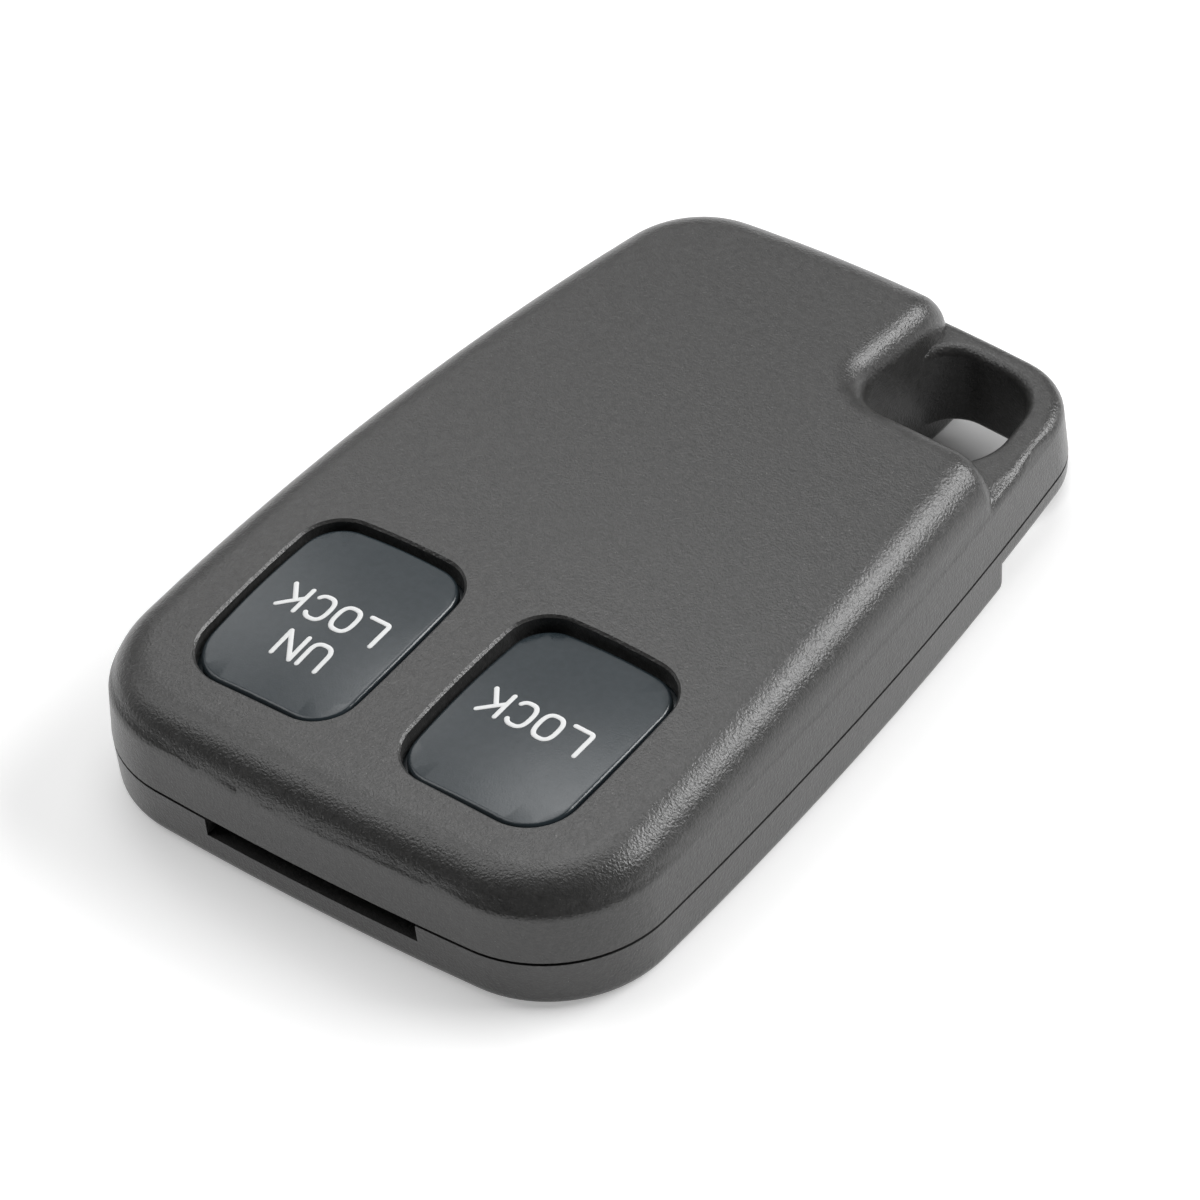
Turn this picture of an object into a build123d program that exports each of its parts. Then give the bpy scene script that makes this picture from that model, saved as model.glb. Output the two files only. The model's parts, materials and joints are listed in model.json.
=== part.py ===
from build123d import *
import math
import os

# Two-button key fob. Origin on the table under the middle of the fob, +Z up towards the buttons,
# +Y towards the key-ring end, +X to the right. All sizes in millimetres.

# Plan shape at the parting line
LENGTH = 58.0
BUTTON_END_WIDTH = 39.6
RING_END_WIDTH = 31.2
END_BOW = 0.8
SIDE_BOW = 1.28
BUTTON_END_CORNER_R = 8.2
RING_END_CORNER_R = 6.9
EYE_OUTER_CORNER_R = 5.6

# Heights of the case
THICKNESS = 11.28
PARTING_Z = 3.84
DOME_R = 310.0
DOME_CENTRE_Y = 6.4
COVER_DRAFT = 4.0
BACK_DRAFT = 3.0
TOP_ROLL = 3.2
BACK_ROLL = 1.0

# Walls and the joint between the covers
WALL = 1.7
FLOOR = 1.3
CEILING = 1.4
LIP_THICKNESS = 0.75
LIP_HEIGHT = 1.2
LIP_CLEARANCE = 0.1
SHADOW_DEPTH = 0.4
SHADOW_HEIGHT = 0.22
BEAD_LENGTH = 3.6
BEAD_HEIGHT = 0.4
BEAD_PROUD = 0.3
BEAD_ABOVE_LINE = 0.55
BEAD_CLEARANCE = 0.15
BEAD_YS = (-9.0, 8.0)

# Pry slot at the button end
PRY_WIDTH = 16.0
PRY_HEIGHT = 1.54
PRY_DEPTH = 1.25

# Key-ring eye in the right-hand corner of the ring end
EYE_WIDTH = 10.2
EYE_LENGTH = 12.0
EYE_CORNER_R = 3.0
EYE_BOTTOM_Z = 1.8
EYE_TOP_Z = 7.8
EYE_FLANK_DRAFT = 3.0
EYE_EDGE_ROLL = 1.0
EYE_RIM_WIDTH = 2.0
EYE_SIDE_RIM_EXTRA = 0.5
EYE_HOLE_FAR_R = 2.5
EYE_HOLE_NEAR_R = 4.0
EYE_HOLE_EDGE_R = 0.7
EYE_RIDGE_R = 2.0
EYE_UNDER_RIDGE_R = 0.8
EYE_UNDER_EDGE_R = 1.1
EYE_HOLE_UNDER_EDGE_R = 0.5

# Button windows
WINDOW_FROM_MIDDLE = 2.15
WINDOW_FROM_SIDE = 5.04
WINDOW_FROM_END = 5.15
WINDOW_LENGTH = 14.7
WINDOW_SIDE_BOW = 0.25
WINDOW_CORNER_R = 2.9
WINDOW_OUTER_CORNER_R = 3.4
WINDOW_CHAMFER = 0.15

# Button caps
CAP_GAP = 0.33
CAP_FACE_R = 80.0
CAP_EDGE_R = 0.35
UNLOCK_CAP_DROP = 0.1
LOCK_CAP_DROP = 0.3
LOCK_CAP_LEAN = 1.6
FLANGE_REACH = 0.8
FLANGE_BOTTOM_Z = 7.3
FLANGE_CLEARANCE = 0.1
CAP_WALL = 1.1
CAP_ROOF_Z = 8.5
CAP_BOSS_R = 2.0
BUTTON_TRAVEL = 0.3

# Silicone keypad membrane
MEMBRANE_GAP = 0.05
MEMBRANE_THICKNESS = 0.5
MEMBRANE_EDGE_GAP = 0.6
MEMBRANE_OVERHANG = 0.9
MEMBRANE_CORNER_R = 1.5
PEG_R = 0.65
PEG_CLEARANCE = 0.1
PEG_BELOW_MEMBRANE = 0.5
PEG_FROM_FLANGE = 0.65
PEG_SPACING = 10.0

# Circuit board and its seats
BOARD_Z = 2.6
BOARD_THICKNESS = 1.0
BOARD_GAP = 0.25
SEAT_R = 1.7
SEAT_PIN_R = 0.7
SEAT_PIN_CLEARANCE = 0.1
SEAT_PIN_PROUD = 0.5
SEAT_FROM_SIDE = 5.1
SEAT_FROM_END = 5.6
SEAT_STAGGER = 1.0
SWITCH_POST_R = 2.0
HOLD_DOWN_R = 1.2
HOLD_DOWN_GAP = 0.1
HOLD_DOWN_FROM_SIDE = 4.0
HOLD_DOWN_FROM_MEMBRANE = 1.0
HOLD_DOWN_FROM_SEAT = 4.2

# Coin cell, 20 mm across and 3.2 mm thick
CELL_X = -3.5
CELL_FROM_MEMBRANE = 2.2
CELL_R = 10.0
CELL_HEIGHT = 3.2
CELL_CAN_WALL = 0.25
CELL_CAP_R = 8.9
CELL_CAP_PROUD = 0.2
CELL_EDGE_R = 0.3
CELL_ABOVE_BOARD = 0.45
CELL_FIT = 0.02
CELL_ANODE_R = 8.0
CELL_ANODE_THICKNESS = 0.7
CELL_CATHODE_R = 8.4
CELL_GASKET_HEIGHT = 1.3

# Contacts of the cell
CONTACT_THICKNESS = 0.2
CONTACT_BEND_R = 0.35
CLIP_WIDTH = 7.0
CLIP_FOOT_LENGTH = 1.6
CLIP_SIDE_GAP = 0.3
LEAF_WIDTH = 4.0
LEAF_PAD_LENGTH = 3.5
LEAF_TONGUE_LENGTH = 5.5

# Switches under the caps
SWITCH_SIDE = 6.0
SWITCH_BASE_HEIGHT = 1.8
SWITCH_FRAME_THICKNESS = 0.3
SWITCH_TAB_WIDTH = 1.6
SWITCH_TAB_THICKNESS = 0.2
SWITCH_TAB_DROP = 1.1
SWITCH_WELL_R = 2.35
SWITCH_FRAME_HOLE_R = 1.85
PLUNGER_R = 1.7
PLUNGER_FLANGE_R = 2.2
PLUNGER_FLANGE_HEIGHT = 0.45
PLUNGER_FLANGE_GAP = 0.05
PLUNGER_FLOOR_GAP = 0.3
PLUNGER_ABOVE_BOARD = 3.1
PLUNGER_EDGE_R = 0.25
SNAP_DOME_R = 2.2
SNAP_DOME_THICKNESS = 0.12
SNAP_DOME_GAP = 0.02
TERMINAL_WIDTH = 0.8
TERMINAL_THICKNESS = 0.2
TERMINAL_REACH = 1.3
TERMINAL_PITCH = 4.5
TERMINAL_RISE = 0.9

# Electronics on the board
CHIP_FROM_CELL = 4.7
CHIP_Y = 8.0
CHIP_WIDTH = 3.9
CHIP_LENGTH = 4.9
CHIP_HEIGHT = 1.4
CHIP_STAND_OFF = 0.12
CHIP_EDGE_R = 0.15
CHIP_LEADS_PER_SIDE = 4
CHIP_LEAD_PITCH = 1.27
CHIP_LEAD_WIDTH = 0.42
CHIP_LEAD_THICKNESS = 0.18
CHIP_LEAD_REACH = 1.0
CHIP_LEAD_RISE = 0.75
TRANSISTOR_FROM_SIDE = 9.4
TRANSISTOR_WIDTH = 1.3
TRANSISTOR_LENGTH = 2.9
TRANSISTOR_HEIGHT = 0.95
TRANSISTOR_LEAD_PITCH = 1.9
TRANSISTOR_LEAD_REACH = 0.6
RESONATOR_Y = 0.6
RESONATOR_SIDE = 5.0
RESONATOR_CORNER_R = 0.4
RESONATOR_BASE_HEIGHT = 1.0
RESONATOR_LID_SIDE = 4.3
RESONATOR_LID_HEIGHT = 0.35
CRYSTAL_X = -9.6
CRYSTAL_LENGTH = 5.0
CRYSTAL_WIDTH = 3.2
CRYSTAL_HEIGHT = 1.1
CRYSTAL_CORNER_R = 0.5
PARTS_ROW_FROM_SWITCH = 3.9
PASSIVE_LENGTH = 1.6
PASSIVE_WIDTH = 0.8
CAPACITOR_HEIGHT = 0.8
RESISTOR_HEIGHT = 0.45
CAPACITOR_XS = (-3.6, -1.2, 1.2)
CAPACITOR_FROM_TRANSISTOR = 3.2
RESISTOR_XS = (3.6, 6.0)
PASSIVE_ABOVE_CHIP = 1.4
ANTENNA_HEIGHT = 2.2
ANTENNA_THICKNESS = 0.4
ANTENNA_INSET = 0.5
ANTENNA_NEAR_Y = -2.0
ANTENNA_RIGHT_X = -2.0

# Heights and places that follow from the sizes above
EYE_X = RING_END_WIDTH / 2 - EYE_WIDTH
EYE_Y = LENGTH / 2 - EYE_LENGTH
WINDOW_Y = WINDOW_FROM_END + WINDOW_LENGTH / 2 - LENGTH / 2
SIDE_X_AT_WINDOW = (BUTTON_END_WIDTH - (BUTTON_END_WIDTH - RING_END_WIDTH) * (WINDOW_Y / LENGTH + 0.5)) / 2
WINDOW_WIDTH = SIDE_X_AT_WINDOW - WINDOW_FROM_MIDDLE - WINDOW_FROM_SIDE
WINDOW_X = WINDOW_FROM_MIDDLE + WINDOW_WIDTH / 2
DOME_CENTRE_Z = THICKNESS - DOME_R
LINE_Z = PARTING_Z - SHADOW_HEIGHT
LIP_INSET = WALL - LIP_THICKNESS
REBATE_INSET = LIP_INSET - LIP_CLEARANCE
BOARD_TOP = BOARD_Z + BOARD_THICKNESS
FLANGE_HALF_WIDTH = WINDOW_WIDTH / 2 + WINDOW_SIDE_BOW + FLANGE_REACH
FLANGE_HALF_LENGTH = WINDOW_LENGTH / 2 + WINDOW_SIDE_BOW + FLANGE_REACH
MEMBRANE_TOP = FLANGE_BOTTOM_Z - MEMBRANE_GAP
MEMBRANE_Z = MEMBRANE_TOP - MEMBRANE_THICKNESS
MEMBRANE_FAR_Y = WINDOW_Y + FLANGE_HALF_LENGTH + MEMBRANE_OVERHANG
PEG_SIDE_X = WINDOW_X + FLANGE_HALF_WIDTH + PEG_FROM_FLANGE + PEG_R
PEG_PLACES = (
    (0, WINDOW_Y - PEG_SPACING / 2),
    (0, WINDOW_Y + PEG_SPACING / 2),
    (-PEG_SIDE_X, WINDOW_Y),
    (PEG_SIDE_X, WINDOW_Y),
)
SEAT_PLACES = (
    (SEAT_FROM_SIDE + WALL - BUTTON_END_WIDTH / 2, SEAT_FROM_END - LENGTH / 2),
    (BUTTON_END_WIDTH / 2 - SEAT_FROM_SIDE - WALL, SEAT_FROM_END - LENGTH / 2),
    (SEAT_FROM_SIDE - RING_END_WIDTH / 2, LENGTH / 2 - SEAT_FROM_END - SEAT_STAGGER),
    (EYE_X - SEAT_FROM_SIDE, LENGTH / 2 - SEAT_FROM_END),
)
HOLD_DOWN_Y = MEMBRANE_FAR_Y + HOLD_DOWN_FROM_MEMBRANE + HOLD_DOWN_R
CELL_Y = MEMBRANE_FAR_Y + CELL_FROM_MEMBRANE + CELL_R
CELL_Z = BOARD_TOP + CELL_ABOVE_BOARD
CELL_TOP = CELL_Z + CELL_HEIGHT
HOLD_DOWN_PLACES = (
    (HOLD_DOWN_FROM_SIDE + WALL - BUTTON_END_WIDTH / 2, HOLD_DOWN_Y),
    (BUTTON_END_WIDTH / 2 - HOLD_DOWN_FROM_SIDE - WALL, HOLD_DOWN_Y),
    (HOLD_DOWN_FROM_SIDE - RING_END_WIDTH / 2, SEAT_PLACES[2][1] - HOLD_DOWN_FROM_SEAT),
    (EYE_X - HOLD_DOWN_FROM_SIDE - HOLD_DOWN_R / 2, SEAT_PLACES[3][1] - HOLD_DOWN_FROM_SEAT),
)
CHIP_X = CELL_X + CELL_R + CHIP_FROM_CELL
PARTS_ROW_Y = WINDOW_Y + SWITCH_SIDE / 2 + PARTS_ROW_FROM_SWITCH
TRANSISTOR_X = BUTTON_END_WIDTH / 2 - TRANSISTOR_FROM_SIDE
PLUNGER_TOP = BOARD_TOP + PLUNGER_ABOVE_BOARD
SWITCH_FRAME_Z = BOARD_TOP + SWITCH_BASE_HEIGHT
PLUNGER_FLANGE_TOP = SWITCH_FRAME_Z - PLUNGER_FLANGE_GAP
PLUNGER_FLANGE_Z = PLUNGER_FLANGE_TOP - PLUNGER_FLANGE_HEIGHT
SWITCH_FLOOR_Z = PLUNGER_FLANGE_Z - BUTTON_TRAVEL - PLUNGER_FLOOR_GAP
SIDES = {"unlock": -1, "lock": 1}


def bow_centre(start, end, bow):
    """Centre of the circle that a side lies on, from its two corners, taken anticlockwise, and how far
    the side bows out between them."""
    half_chord = (end - start) * 0.5
    inward = Vector(-half_chord.Y, half_chord.X, 0).normalized()
    radius = (half_chord.length**2 + bow**2) / (2 * bow)
    return start + half_chord + inward * (radius - bow)


def circles_meet(centre_a, radius_a, centre_b, radius_b, near_to):
    """Where two circles cross, taking the crossing that lies nearer to a place."""
    across = centre_b - centre_a
    along = (radius_a**2 - radius_b**2 + across.length**2) / (2 * across.length)
    aside = math.sqrt(radius_a**2 - along**2)
    unit = across.normalized()
    foot = centre_a + unit * along
    sideways = Vector(-unit.Y, unit.X, 0) * aside
    return min(foot + sideways, foot - sideways, key=lambda crossing: (crossing - near_to).length)


def fob_outline(inset=0.0):
    """The plan shape at the parting line: four bowed sides and rounded corners, drawn smaller by inset."""
    corners = (
        Vector(-BUTTON_END_WIDTH / 2, -LENGTH / 2 + END_BOW),
        Vector(BUTTON_END_WIDTH / 2, -LENGTH / 2 + END_BOW),
        Vector(RING_END_WIDTH / 2, LENGTH / 2 - END_BOW),
        Vector(-RING_END_WIDTH / 2, LENGTH / 2 - END_BOW),
    )
    corner_radii = (BUTTON_END_CORNER_R, BUTTON_END_CORNER_R, EYE_OUTER_CORNER_R, RING_END_CORNER_R)
    bows = (END_BOW, SIDE_BOW, END_BOW, SIDE_BOW)
    centres = [bow_centre(corners[n], corners[(n + 1) % 4], bows[n]) for n in range(4)]
    radii = [(corners[n] - centres[n]).length - inset for n in range(4)]
    ends = [
        circles_meet(centres[n - 1], radii[n - 1], centres[n], radii[n], corners[n]) for n in range(4)
    ]
    with BuildSketch() as plan:
        with BuildLine():
            for n in range(4):
                outward = ((ends[n] + ends[(n + 1) % 4]) * 0.5 - centres[n]).normalized()
                ThreePointArc(ends[n], centres[n] + outward * radii[n], ends[(n + 1) % 4])
        make_face()
        for corner, radius in zip(corners, corner_radii):
            fillet(plan.vertices().sort_by_distance(corner)[0], radius - inset)
    return plan.sketch


def eye_region(grow=0.0):
    """The corner of the plan that belongs to the key-ring eye, drawn larger by grow on its two inner
    sides."""
    left = EYE_X - grow
    near = EYE_Y - grow
    with BuildSketch() as corner:
        with Locations((left, near)):
            Rectangle(LENGTH, LENGTH, align=(Align.MIN, Align.MIN))
        fillet(corner.vertices().sort_by_distance((left, near))[0], EYE_CORNER_R + grow)
    return corner.sketch


def eye_hole():
    """The plan of the hole that a key ring goes through: the eye's corner less the rim round its outside,
    which is wider on the right."""
    with BuildSketch() as hole:
        with Locations((-EYE_SIDE_RIM_EXTRA, 0)):
            add(fob_outline(EYE_RIM_WIDTH))
        add(eye_region(), mode=Mode.INTERSECT)
        fillet(hole.vertices().sort_by_distance((EYE_X, LENGTH / 2))[0], EYE_HOLE_FAR_R)
        fillet(hole.vertices().sort_by_distance((RING_END_WIDTH / 2, EYE_Y))[0], EYE_HOLE_NEAR_R)
    return hole.sketch


def inner_plan(inset):
    """The plan inside the case wall, clear of the eye by the same inset."""
    with BuildSketch() as inner:
        add(fob_outline(inset))
        add(eye_region(inset), mode=Mode.SUBTRACT)
    return inner.sketch


def rim_band(outer_inset, inner_inset):
    """A band that runs round inside the case wall between two insets."""
    with BuildSketch() as band:
        add(inner_plan(outer_inset))
        add(inner_plan(inner_inset), mode=Mode.SUBTRACT)
    return band.sketch


def bead_band(outer_inset, inner_inset, length):
    """Short lengths of a band on the two long sides, one pair at each snap bead."""
    with BuildSketch() as beads:
        add(fob_outline(outer_inset))
        add(fob_outline(inner_inset), mode=Mode.SUBTRACT)
        with BuildSketch(mode=Mode.INTERSECT):
            with Locations([(0, y) for y in BEAD_YS]):
                Rectangle(2 * LENGTH, length)
    return beads.sketch


def window_plan(side, grow=0.0):
    """The plan of one button window, side -1 on the left and 1 on the right, drawn larger by grow."""
    half_width = WINDOW_WIDTH / 2 + grow
    near = WINDOW_Y - WINDOW_LENGTH / 2 - grow
    far = WINDOW_Y + WINDOW_LENGTH / 2 + grow
    inner_x = side * (WINDOW_X - half_width)
    outer_x = side * (WINDOW_X + half_width)
    bow = side * WINDOW_SIDE_BOW
    with BuildSketch() as window:
        with BuildLine():
            Line((inner_x, near), (outer_x, near))
            ThreePointArc((outer_x, near), (outer_x + bow, WINDOW_Y), (outer_x, far))
            ThreePointArc((outer_x, far), (side * WINDOW_X, far + WINDOW_SIDE_BOW), (inner_x, far))
            ThreePointArc((inner_x, far), (inner_x - bow, WINDOW_Y), (inner_x, near))
        make_face()
        outer_near = window.vertices().sort_by_distance((outer_x, near))
        fillet(outer_near[1:], WINDOW_CORNER_R + grow)
        fillet(window.vertices().sort_by_distance((outer_x, near))[0], WINDOW_OUTER_CORNER_R + grow)
    return window.sketch


def dome_height(x, y):
    """Height of the domed top face at a place in plan."""
    return DOME_CENTRE_Z + math.sqrt(DOME_R**2 - x**2 - (y - DOME_CENTRE_Y) ** 2)


def dome(radius):
    """A ball under the top face, turned so that its poles lie to the sides."""
    with Locations((0, DOME_CENTRE_Y, DOME_CENTRE_Z)):
        Sphere(radius, rotation=(90, 0, 0), mode=Mode.INTERSECT)


def cap_ball(side, drop, lean):
    """A ball whose top is a cap's pillowed face: square to the domed top there, sunk by drop and leaning
    by an angle in degrees towards the far left."""
    x = side * WINDOW_X
    face = Vector(x, WINDOW_Y, dome_height(x, WINDOW_Y) - drop)
    upright = (face - Vector(0, DOME_CENTRE_Y, DOME_CENTRE_Z)).normalized()
    normal = (upright + Vector(-1, 1, 0).normalized() * math.tan(math.radians(lean))).normalized()
    with Locations(face - normal * CAP_FACE_R):
        Sphere(CAP_FACE_R, rotation=(90, 0, 0), mode=Mode.INTERSECT)


def make_cap(side, drop, lean):
    """A button cap with its pillowed face, the flange that keeps it in and the boss that presses the
    membrane."""
    with BuildPart() as skirt:
        with BuildSketch(Plane.XY.offset(FLANGE_BOTTOM_Z)):
            add(window_plan(side, FLANGE_REACH))
        extrude(amount=THICKNESS)
        dome(DOME_R - CEILING - FLANGE_CLEARANCE)
    with BuildPart() as cap:
        with BuildSketch(Plane.XY.offset(FLANGE_BOTTOM_Z)):
            add(window_plan(side, -CAP_GAP))
        extrude(amount=THICKNESS)
        cap_ball(side, drop, lean)
        fillet(cap.faces().sort_by(Axis.Z)[-1].edges(), CAP_EDGE_R)
        add(skirt.part)
        with BuildSketch(Plane.XY.offset(FLANGE_BOTTOM_Z)):
            add(window_plan(side, -CAP_GAP - CAP_WALL))
            with Locations((side * WINDOW_X, WINDOW_Y)):
                Circle(CAP_BOSS_R, mode=Mode.SUBTRACT)
        extrude(amount=CAP_ROOF_Z - FLANGE_BOTTOM_Z, mode=Mode.SUBTRACT)
    return cap.part


def gull_leads(places, rise, reach, width, thickness):
    """Bent leads that step down from a body to the board. Each place is the x of the body's side, the lead's
    y and the side, -1 or 1, that it points to."""
    shoulder = reach / 3
    with BuildPart() as leads:
        for x, y, side in places:
            with BuildSketch(Plane(origin=(x, y, BOARD_TOP), x_dir=(side, 0, 0), z_dir=(0, -side, 0))):
                with BuildLine():
                    Polyline(
                        (0, rise),
                        (shoulder + thickness, rise),
                        (shoulder + thickness, thickness),
                        (reach, thickness),
                        (reach, 0),
                        (shoulder, 0),
                        (shoulder, rise - thickness),
                        (0, rise - thickness),
                        close=True,
                    )
                make_face()
            extrude(amount=width / 2, both=True)
    return leads.part


def make_switch(side):
    """One push switch: its base, pressed frame, plunger, snap dome and terminals."""
    x = side * WINDOW_X
    with BuildPart() as base:
        with BuildSketch(Plane((x, WINDOW_Y, BOARD_TOP))):
            Rectangle(SWITCH_SIDE, SWITCH_SIDE)
        extrude(amount=SWITCH_BASE_HEIGHT)
        with BuildSketch(Plane((x, WINDOW_Y, SWITCH_FLOOR_Z))):
            Circle(SWITCH_WELL_R)
        extrude(amount=SWITCH_BASE_HEIGHT, mode=Mode.SUBTRACT)

    with BuildPart() as frame:
        with BuildSketch(Plane((x, WINDOW_Y, SWITCH_FRAME_Z))):
            Rectangle(SWITCH_SIDE, SWITCH_SIDE + 2 * SWITCH_TAB_THICKNESS)
            Circle(SWITCH_FRAME_HOLE_R, mode=Mode.SUBTRACT)
        extrude(amount=SWITCH_FRAME_THICKNESS)
        with BuildSketch(Plane((x, WINDOW_Y, SWITCH_FRAME_Z))):
            Rectangle(SWITCH_TAB_WIDTH, SWITCH_SIDE + 2 * SWITCH_TAB_THICKNESS)
            Rectangle(SWITCH_TAB_WIDTH, SWITCH_SIDE, mode=Mode.SUBTRACT)
        extrude(amount=-SWITCH_TAB_DROP)

    with BuildPart() as plunger:
        with BuildSketch(Plane((x, WINDOW_Y, PLUNGER_FLANGE_Z))):
            Circle(PLUNGER_FLANGE_R)
        extrude(amount=PLUNGER_FLANGE_HEIGHT)
        with BuildSketch(Plane((x, WINDOW_Y, PLUNGER_FLANGE_TOP))):
            Circle(PLUNGER_R)
        extrude(amount=PLUNGER_TOP - PLUNGER_FLANGE_TOP)
        fillet(plunger.edges().group_by(Axis.Z)[-1], PLUNGER_EDGE_R)

    dome_rise = PLUNGER_FLANGE_Z - SNAP_DOME_GAP - SWITCH_FLOOR_Z
    dome_ball_r = (SNAP_DOME_R**2 + dome_rise**2) / (2 * dome_rise)
    with BuildPart() as snap:
        with Locations((x, WINDOW_Y, SWITCH_FLOOR_Z + dome_rise - dome_ball_r)):
            Sphere(dome_ball_r)
            Sphere(dome_ball_r - SNAP_DOME_THICKNESS, mode=Mode.SUBTRACT)
        with BuildSketch(Plane((x, WINDOW_Y, SWITCH_FLOOR_Z))):
            Circle(SWITCH_WELL_R)
        extrude(amount=SWITCH_BASE_HEIGHT, mode=Mode.INTERSECT)

    half = SWITCH_SIDE / 2
    places = [
        (x + end * half, WINDOW_Y + row * TERMINAL_PITCH / 2, end) for end in (-1, 1) for row in (-1, 1)
    ]
    terminals = gull_leads(places, TERMINAL_RISE, TERMINAL_REACH, TERMINAL_WIDTH, TERMINAL_THICKNESS)
    return {
        "switch_base": base.part,
        "switch_frame": frame.part,
        "switch_plunger": plunger.part,
        "snap_dome": snap.part,
        "switch_terminals": terminals,
    }


def board_block(places, length, width, height, corner_r=0.0):
    """Rectangular blocks that stand on the board."""
    with BuildPart() as blocks:
        with BuildSketch(Plane.XY.offset(BOARD_TOP)):
            with Locations(*places):
                if corner_r:
                    RectangleRounded(length, width, corner_r)
                else:
                    Rectangle(length, width)
        extrude(amount=height)
    return blocks.part


# The eye block of the front cover: the whole outline up to the eye's top, with a rounded edge and the hole
with BuildPart() as eye_block:
    with BuildSketch(Plane.XY.offset(PARTING_Z)):
        add(fob_outline())
    extrude(amount=EYE_TOP_Z - PARTING_Z, taper=EYE_FLANK_DRAFT)
    fillet(eye_block.faces().sort_by(Axis.Z)[-1].edges(), EYE_EDGE_ROLL)
    with BuildSketch(Plane.XY.offset(PARTING_Z)):
        add(eye_hole())
    extrude(amount=THICKNESS, mode=Mode.SUBTRACT)
    fillet(eye_block.faces().sort_by(Axis.Z)[-1].inner_wires().edges(), EYE_HOLE_EDGE_R)

# The eye block of the back cover, in the same way, down to the eye's underside
with BuildPart() as under_eye_block:
    with BuildSketch(Plane.XY.offset(PARTING_Z)):
        add(fob_outline())
    extrude(amount=EYE_BOTTOM_Z - PARTING_Z, taper=BACK_DRAFT)
    fillet(under_eye_block.faces().sort_by(Axis.Z)[0].edges(), EYE_UNDER_EDGE_R)
    with BuildSketch(Plane.XY.offset(PARTING_Z)):
        add(eye_hole())
    extrude(amount=-PARTING_Z, mode=Mode.SUBTRACT)
    fillet(under_eye_block.faces().sort_by(Axis.Z)[0].inner_wires().edges(), EYE_HOLE_UNDER_EDGE_R)

# The hollow of the front cover, clear of the eye, with the step that takes the back cover's lip
with BuildPart() as front_hollow:
    with BuildSketch(Plane.XY.offset(PARTING_Z)):
        add(fob_outline(WALL))
    extrude(amount=THICKNESS - PARTING_Z, taper=COVER_DRAFT)
    with BuildSketch(Plane.XY.offset(PARTING_Z)):
        add(eye_region(WALL))
    extrude(amount=THICKNESS, mode=Mode.SUBTRACT)
    dome(DOME_R - CEILING)
    with BuildSketch(Plane.XY.offset(PARTING_Z)):
        add(inner_plan(REBATE_INSET))
    extrude(amount=LIP_HEIGHT + LIP_CLEARANCE)

# Pegs that carry the membrane and posts that hold the board down, both hung from the ceiling
with BuildPart() as front_posts:
    with BuildSketch(Plane.XY.offset(MEMBRANE_Z - PEG_BELOW_MEMBRANE)):
        with Locations(*PEG_PLACES):
            Circle(PEG_R)
    extrude(amount=THICKNESS)
    with BuildSketch(Plane.XY.offset(BOARD_TOP + HOLD_DOWN_GAP)):
        with Locations(*HOLD_DOWN_PLACES):
            Circle(HOLD_DOWN_R)
    extrude(amount=THICKNESS)
    dome(DOME_R - CEILING / 2)

# Front cover: drafted sides, domed top with a rolled edge, the stepped-down eye and the two windows
with BuildPart() as front_cover:
    with BuildSketch(Plane.XY.offset(PARTING_Z)):
        add(fob_outline())
    extrude(amount=THICKNESS - PARTING_Z, taper=COVER_DRAFT)
    dome(DOME_R)
    fillet(front_cover.faces().sort_by(Axis.Z)[-1].edges(), TOP_ROLL)
    with BuildSketch(Plane.XY.offset(PARTING_Z)):
        add(eye_region())
    extrude(amount=THICKNESS, mode=Mode.SUBTRACT)
    eye_walls = front_cover.faces().filter_by(lambda f: abs(f.normal_at().Z) < 1e-6)
    ridge = eye_walls.edges().filter_by(Axis.Z, reverse=True)
    fillet(ridge.filter_by(lambda e: e.center().Z > PARTING_Z + EYE_EDGE_ROLL), EYE_RIDGE_R)
    add(eye_block.part)
    add(front_hollow.part, mode=Mode.SUBTRACT)
    with BuildSketch(Plane.XY.offset(FLANGE_BOTTOM_Z)):
        add(window_plan(-1))
        add(window_plan(1))
    extrude(amount=THICKNESS, mode=Mode.SUBTRACT)
    window_edges = front_cover.faces().sort_by(Axis.Z)[-1].inner_wires().edges()
    chamfer(window_edges, WINDOW_CHAMFER)
    with BuildSketch(Plane.XY.offset(PARTING_Z + BEAD_ABOVE_LINE)):
        add(bead_band(REBATE_INSET - LIP_CLEARANCE, REBATE_INSET + BEAD_PROUD, BEAD_LENGTH))
    extrude(amount=BEAD_HEIGHT)
    add(front_posts.part)

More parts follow.
